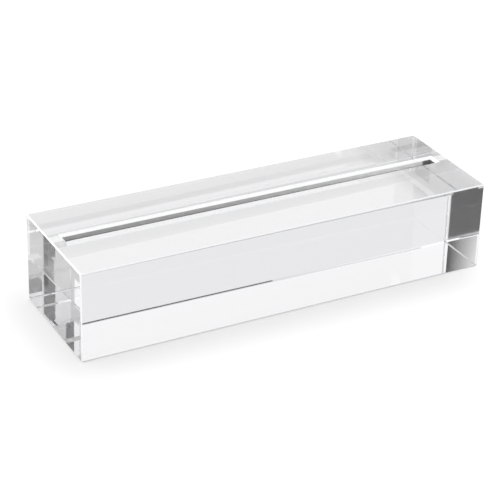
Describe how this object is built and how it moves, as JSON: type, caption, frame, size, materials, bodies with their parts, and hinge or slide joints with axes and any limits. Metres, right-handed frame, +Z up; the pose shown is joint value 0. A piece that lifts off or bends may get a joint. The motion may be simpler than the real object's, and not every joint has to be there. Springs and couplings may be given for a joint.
{
  "type": "block frame",
  "caption": "Heavy clear polished block with chamfered edges that stands a print or pane upright in a slot along its top.",
  "frame": {"origin": "centre of the bottom face that the block rests on", "axes": "+X along the slot, +Y towards the back, +Z up out of the slot"},
  "size_m": [0.165, 0.0494, 0.035],
  "materials": {
    "clear_block": "clear and polished on every face, with small bright chamfers"
  },
  "bodies": {
    "root": {"front_block": "clear_block", "rear_block": "clear_block", "slot_floor_strip": "clear_block", "left_end_spacer": "clear_block", "right_end_spacer": "clear_block"}
  },
  "joints": []
}
